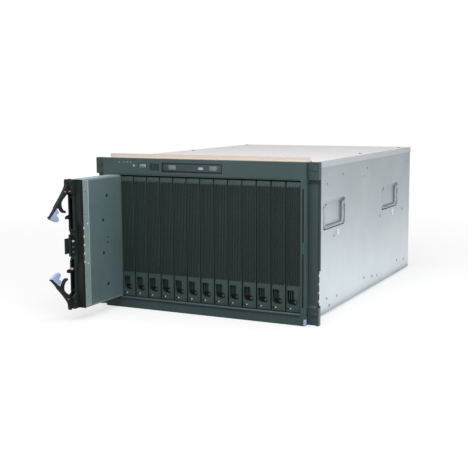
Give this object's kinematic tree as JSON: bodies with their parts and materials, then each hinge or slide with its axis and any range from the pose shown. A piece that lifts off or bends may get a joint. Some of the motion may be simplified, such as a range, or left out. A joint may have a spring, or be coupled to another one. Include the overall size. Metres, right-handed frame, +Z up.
{
  "type": "blade server chassis",
  "caption": "Rack-mount blade server chassis with removable blade and fillers, slim disc drive, side handles, and hot-swap switch, power and blower modules at the rear.",
  "frame": {"origin": "centre of the underside of the case", "axes": "+X right seen from the front, +Y from the front bezel to the rear modules, +Z up"},
  "size_m": [0.4826, 0.9131, 0.31],
  "materials": {
    "bare_steel": "zinc-plated sheet steel, fine rolled grain",
    "cover_steel": "light grey top cover",
    "cream": "cream moulded strip",
    "slate": "dark slate fine-textured plastic",
    "black_flange": "black powder coat",
    "filler_grey": "dark grey-green moulded plastic",
    "blade_steel": "plated blade sheet",
    "cover_grey": "blue-grey blade cover",
    "coal": "black moulded plastic",
    "board_green": "circuit board",
    "aluminium_fins": "extruded fins",
    "copper": "copper-coloured pins",
    "pale_blue": "pale blue touch-point plastic",
    "button_white": "white button",
    "button_grey": "grey button",
    "lens": "translucent light pipes",
    "bright_metal": "plated socket shell",
    "drive_grey": "drive front",
    "module_grey": "grey module face",
    "blower_black": "black blower"
  },
  "bodies": {
    "chassis": {"base_shell": "bare_steel", "top_cover": "cover_steel", "bezel_catch_strip": "cream", "rack_flange_left": "black_flange", "rack_flange_right": "black_flange", "front_bezel": "slate", "guide_plate_bottom": "bare_steel", "guide_plate_top": "bare_steel", "midplane_board": "board_green", "rear_frame": "bare_steel", "case_fasteners": "bare_steel", "optical_drive": "bare_steel", "usb_port": "bright_metal", "panel_lights": "lens", "rear_blanks": "module_grey"},
    "disc_tray": {"disc_tray": "drive_grey"},
    "eject_button": {"eject_button": "button_grey"},
    "handle_left_front": {"handle_left_front": "bare_steel"},
    "handle_left_rear": {"handle_left_rear": "bare_steel"},
    "handle_right_front": {"handle_right_front": "bare_steel"},
    "handle_right_rear": {"handle_right_rear": "bare_steel"},
    "filler_02": {"filler_02": "filler_grey"},
    "filler_03": {"filler_03": "filler_grey"},
    "filler_04": {"filler_04": "filler_grey"},
    "filler_05": {"filler_05": "filler_grey"},
    "filler_06": {"filler_06": "filler_grey"},
    "filler_07": {"filler_07": "filler_grey"},
    "filler_08": {"filler_08": "filler_grey"},
    "filler_09": {"filler_09": "filler_grey"},
    "filler_10": {"filler_10": "filler_grey"},
    "filler_11": {"filler_11": "filler_grey"},
    "filler_12": {"filler_12": "filler_grey"},
    "filler_13": {"filler_13": "filler_grey"},
    "filler_14": {"filler_14": "filler_grey"},
    "blade": {"blade_tray": "blade_steel", "blade_cover": "cover_grey", "blade_bezel": "coal", "blade_board": "board_green", "heat_sinks": "aluminium_fins", "memory_modules": "board_green", "lever_pins": "copper"},
    "upper_lever": {"upper_lever": "coal", "upper_lever_grip": "pale_blue"},
    "lower_lever": {"lower_lever": "coal", "lower_lever_grip": "pale_blue"},
    "power_button": {"power_button": "button_white"},
    "media_button": {"media_button": "button_grey"},
    "console_button": {"console_button": "button_grey"},
    "control_door": {"control_door": "coal"},
    "io_module_1": {"io_module_1": "module_grey"},
    "io_module_2": {"io_module_2": "module_grey"},
    "management_module": {"management_module": "module_grey"},
    "power_module_1": {"power_module_1": "module_grey"},
    "power_module_2": {"power_module_2": "module_grey"},
    "power_module_3": {"power_module_3": "module_grey"},
    "power_module_4": {"power_module_4": "module_grey"},
    "blower_upper": {"blower_upper": "blower_black"},
    "blower_lower": {"blower_lower": "blower_black"},
    "impeller_upper": {"impeller_upper": "blower_black"},
    "impeller_lower": {"impeller_lower": "blower_black"}
  },
  "joints": [
    {"name": "tray_slide", "type": "slide", "parent": "chassis", "child": "disc_tray", "axis": [0, -1, 0], "range_m": [0, 0.12]},
    {"name": "eject_press", "type": "slide", "parent": "disc_tray", "child": "eject_button", "axis": [0, 1, 0], "range_m": [0, 0.0008], "stiffness_N_per_m": 400},
    {"name": "handle_left_front_lift", "type": "hinge", "parent": "chassis", "child": "handle_left_front", "pos_m": [-0.2178, -0.201, 0.207], "axis": [0, 1, 0], "range_deg": [0, 90]},
    {"name": "handle_left_rear_lift", "type": "hinge", "parent": "chassis", "child": "handle_left_rear", "pos_m": [-0.2178, 0.168, 0.207], "axis": [0, 1, 0], "range_deg": [0, 90]},
    {"name": "handle_right_front_lift", "type": "hinge", "parent": "chassis", "child": "handle_right_front", "pos_m": [0.2178, -0.201, 0.207], "axis": [0, -1, 0], "range_deg": [0, 90]},
    {"name": "handle_right_rear_lift", "type": "hinge", "parent": "chassis", "child": "handle_right_rear", "pos_m": [0.2178, 0.168, 0.207], "axis": [0, -1, 0], "range_deg": [0, 90]},
    {"name": "filler_02_slide", "type": "slide", "parent": "chassis", "child": "filler_02", "axis": [0, -1, 0], "range_m": [0, 0.16]},
    {"name": "filler_03_slide", "type": "slide", "parent": "chassis", "child": "filler_03", "axis": [0, -1, 0], "range_m": [0, 0.16]},
    {"name": "filler_04_slide", "type": "slide", "parent": "chassis", "child": "filler_04", "axis": [0, -1, 0], "range_m": [0, 0.16]},
    {"name": "filler_05_slide", "type": "slide", "parent": "chassis", "child": "filler_05", "axis": [0, -1, 0], "range_m": [0, 0.16]},
    {"name": "filler_06_slide", "type": "slide", "parent": "chassis", "child": "filler_06", "axis": [0, -1, 0], "range_m": [0, 0.16]},
    {"name": "filler_07_slide", "type": "slide", "parent": "chassis", "child": "filler_07", "axis": [0, -1, 0], "range_m": [0, 0.16]},
    {"name": "filler_08_slide", "type": "slide", "parent": "chassis", "child": "filler_08", "axis": [0, -1, 0], "range_m": [0, 0.16]},
    {"name": "filler_09_slide", "type": "slide", "parent": "chassis", "child": "filler_09", "axis": [0, -1, 0], "range_m": [0, 0.16]},
    {"name": "filler_10_slide", "type": "slide", "parent": "chassis", "child": "filler_10", "axis": [0, -1, 0], "range_m": [0, 0.16]},
    {"name": "filler_11_slide", "type": "slide", "parent": "chassis", "child": "filler_11", "axis": [0, -1, 0], "range_m": [0, 0.16]},
    {"name": "filler_12_slide", "type": "slide", "parent": "chassis", "child": "filler_12", "axis": [0, -1, 0], "range_m": [0, 0.16]},
    {"name": "filler_13_slide", "type": "slide", "parent": "chassis", "child": "filler_13", "axis": [0, -1, 0], "range_m": [0, 0.16]},
    {"name": "filler_14_slide", "type": "slide", "parent": "chassis", "child": "filler_14", "axis": [0, -1, 0], "range_m": [0, 0.16]},
    {"name": "blade_slide", "type": "slide", "parent": "chassis", "child": "blade", "axis": [0, 1, 0], "range_m": [-0.28, 0.125]},
    {"name": "upper_lever_swing", "type": "hinge", "parent": "blade", "child": "upper_lever", "pos_m": [-0.20083, -0.4885, 0.2512], "axis": [1, 0, 0], "range_deg": [0, 49]},
    {"name": "lower_lever_swing", "type": "hinge", "parent": "blade", "child": "lower_lever", "pos_m": [-0.20083, -0.4885, 0.0328], "axis": [-1, 0, 0], "range_deg": [0, 49]},
    {"name": "power_press", "type": "slide", "parent": "blade", "child": "power_button", "axis": [0, 1, 0], "range_m": [0, 0.001], "stiffness_N_per_m": 400},
    {"name": "media_press", "type": "slide", "parent": "blade", "child": "media_button", "axis": [0, 1, 0], "range_m": [0, 0.001], "stiffness_N_per_m": 400},
    {"name": "console_press", "type": "slide", "parent": "blade", "child": "console_button", "axis": [0, 1, 0], "range_m": [0, 0.001], "stiffness_N_per_m": 400},
    {"name": "door_swing", "type": "hinge", "parent": "blade", "child": "control_door", "pos_m": [-0.20667, -0.4832, 0.1393], "axis": [0, 0, 1], "range_deg": [0, 90]},
    {"name": "io_module_1_slide", "type": "slide", "parent": "chassis", "child": "io_module_1", "axis": [0, 1, 0], "range_m": [0, 0.19]},
    {"name": "io_module_2_slide", "type": "slide", "parent": "chassis", "child": "io_module_2", "axis": [0, 1, 0], "range_m": [0, 0.19]},
    {"name": "management_module_slide", "type": "slide", "parent": "chassis", "child": "management_module", "axis": [0, 1, 0], "range_m": [0, 0.19]},
    {"name": "power_module_1_slide", "type": "slide", "parent": "chassis", "child": "power_module_1", "axis": [0, 1, 0], "range_m": [0, 0.19]},
    {"name": "power_module_2_slide", "type": "slide", "parent": "chassis", "child": "power_module_2", "axis": [0, 1, 0], "range_m": [0, 0.19]},
    {"name": "power_module_3_slide", "type": "slide", "parent": "chassis", "child": "power_module_3", "axis": [0, 1, 0], "range_m": [0, 0.19]},
    {"name": "power_module_4_slide", "type": "slide", "parent": "chassis", "child": "power_module_4", "axis": [0, 1, 0], "range_m": [0, 0.19]},
    {"name": "blower_upper_slide", "type": "slide", "parent": "chassis", "child": "blower_upper", "axis": [0, 1, 0], "range_m": [0, 0.19]},
    {"name": "blower_lower_slide", "type": "slide", "parent": "chassis", "child": "blower_lower", "axis": [0, 1, 0], "range_m": [0, 0.19]},
    {"name": "impeller_lower_spin", "type": "hinge", "parent": "blower_lower", "child": "impeller_lower", "pos_m": [0.14125, 0.25, 0.07865], "axis": [0, 1, 0], "continuous": true},
    {"name": "impeller_upper_spin", "type": "hinge", "parent": "blower_upper", "child": "impeller_upper", "pos_m": [0.14125, 0.25, 0.22535], "axis": [0, 1, 0], "continuous": true}
  ]
}
